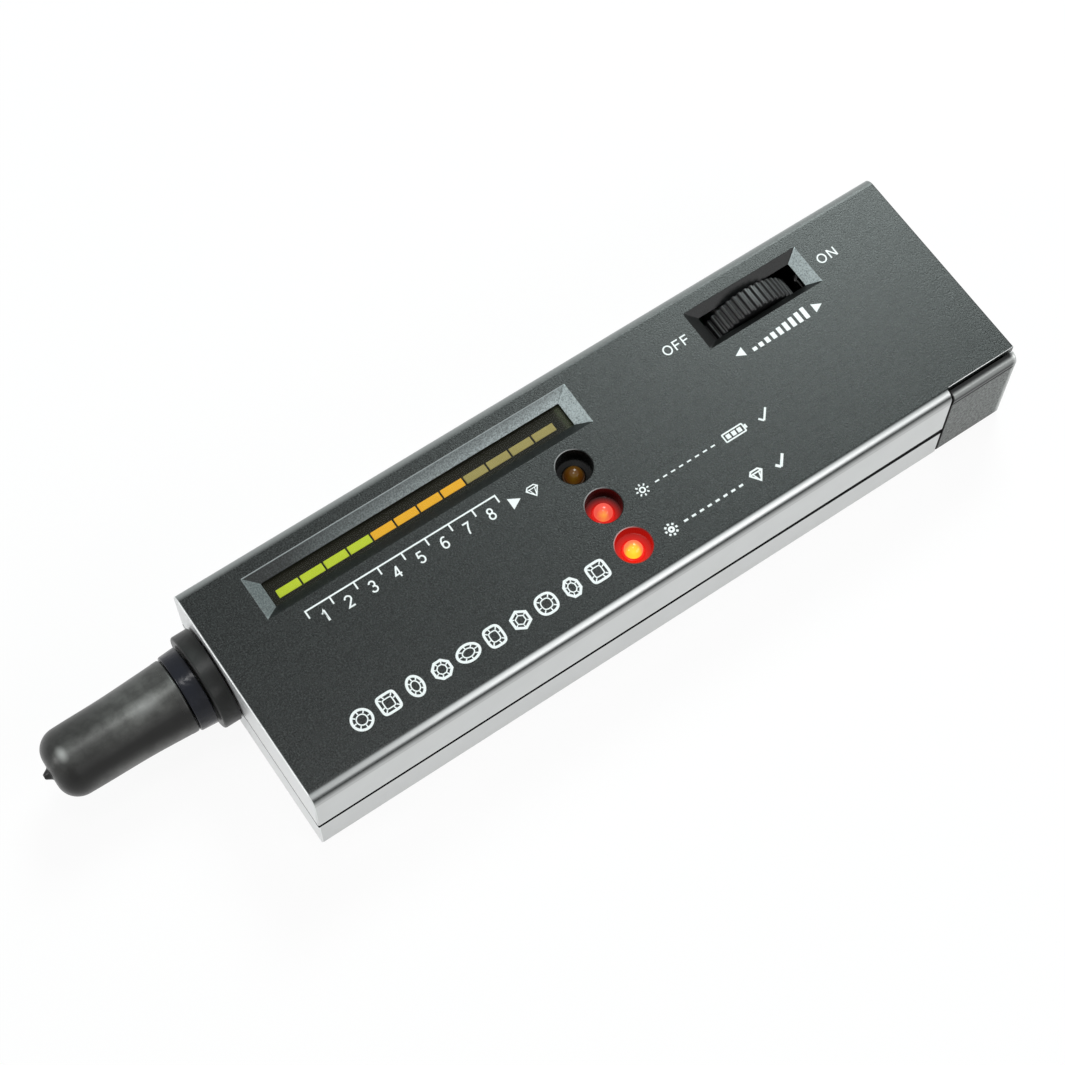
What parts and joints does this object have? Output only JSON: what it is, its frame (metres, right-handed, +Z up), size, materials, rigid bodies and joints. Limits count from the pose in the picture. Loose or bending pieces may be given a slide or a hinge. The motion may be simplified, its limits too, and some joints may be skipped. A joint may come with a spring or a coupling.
{
  "type": "diamond tester",
  "caption": "Slim hand-held gem probe with a sprung tip under a soft cap, light-bar window, lamps, thumbwheel and sliding battery cover.",
  "frame": {"origin": "centre of the housing's flat underside", "axes": "+X from the probe to the rear, along the direction in which the tip reads; +Y to the side with the light bars and the thumbwheel; +Z up through the printed top face"},
  "size_m": [0.1624, 0.04, 0.0204],
  "materials": {
    "case": "fine grained charcoal, satin",
    "cover": "coarse grained matt black",
    "window": "smoked, clear gloss",
    "frame": "matt black",
    "bar_green": "lit yellow-green",
    "bar_orange": "lit orange",
    "bar_unlit": "unlit, milky",
    "lamp_amber": "clear amber, unlit",
    "lamp_red": "lit red",
    "wheel": "black, knurled",
    "steel": "plain",
    "chip": "black moulded",
    "board": "green solder mask",
    "capacitor": "dark blue sleeve",
    "battery": "plain grey jacket",
    "snap": "black",
    "lead_red": "red insulation",
    "lead_black": "black insulation",
    "collar": "dark grey satin",
    "ring": "bluish black gloss",
    "barrel": "black satin",
    "copper": "polished copper",
    "cap": "soft dipped vinyl, satin",
    "print": "white printed marks on the top face"
  },
  "bodies": {
    "housing": {"top_shell": "case", "bottom_shell": "case", "display_window": "window", "bargraph_frame": "frame", "bar_segment_01": "bar_green", "bar_segment_02": "bar_green", "bar_segment_03": "bar_green", "bar_segment_04": "bar_green", "bar_segment_05": "bar_orange", "bar_segment_06": "bar_orange", "bar_segment_07": "bar_orange", "bar_segment_08": "bar_orange", "bar_segment_09": "bar_unlit", "bar_segment_10": "bar_unlit", "bar_segment_11": "bar_unlit", "bar_segment_12": "bar_unlit", "lamp_diamond": "lamp_amber", "lamp_battery": "lamp_red", "lamp_ready": "lamp_red", "volume_control": "chip", "circuit_board": "board", "bar_driver_chip": "chip", "amplifier_chip": "chip", "capacitor_1": "capacitor", "capacitor_2": "capacitor", "buzzer": "chip", "battery": "battery", "battery_snap": "snap", "battery_lead_red": "lead_red", "battery_lead_black": "lead_black", "housing_screw_1": "steel", "housing_screw_2": "steel", "housing_screw_3": "steel", "housing_screw_4": "steel", "nose_collar": "collar", "nose_ring": "ring", "probe_barrel": "barrel", "probe_contact_block": "board", "probe_lead_1": "lead_black", "probe_lead_2": "lead_black"},
    "probe": {"probe_rod": "barrel", "probe_tip": "copper", "probe_spring": "steel"},
    "thumbwheel": {"thumbwheel": "wheel", "wheel_shaft": "steel"},
    "battery_cover": {"battery_cover": "cover"},
    "probe_cap": {"probe_cap": "cap"}
  },
  "joints": [
    {"name": "probe_slide", "type": "slide", "parent": "housing", "child": "probe", "axis": [1, 0, 0], "range_m": [0, 0.0025], "stiffness_N_per_m": 250, "springref_m": -0.002, "deforming": ["probe_spring"]},
    {"name": "wheel_turn", "type": "hinge", "parent": "housing", "child": "thumbwheel", "pos_m": [0.03684, 0.01211, 0.0112], "axis": [0, 1, 0], "range_deg": [-150, 130]},
    {"name": "cap_pull", "type": "slide", "parent": "housing", "child": "probe_cap", "axis": [-1, 0, 0], "range_m": [0, 0.03]},
    {"name": "cover_slide", "type": "slide", "parent": "housing", "child": "battery_cover", "axis": [1, 0, 0], "range_m": [0, 0.03]}
  ]
}
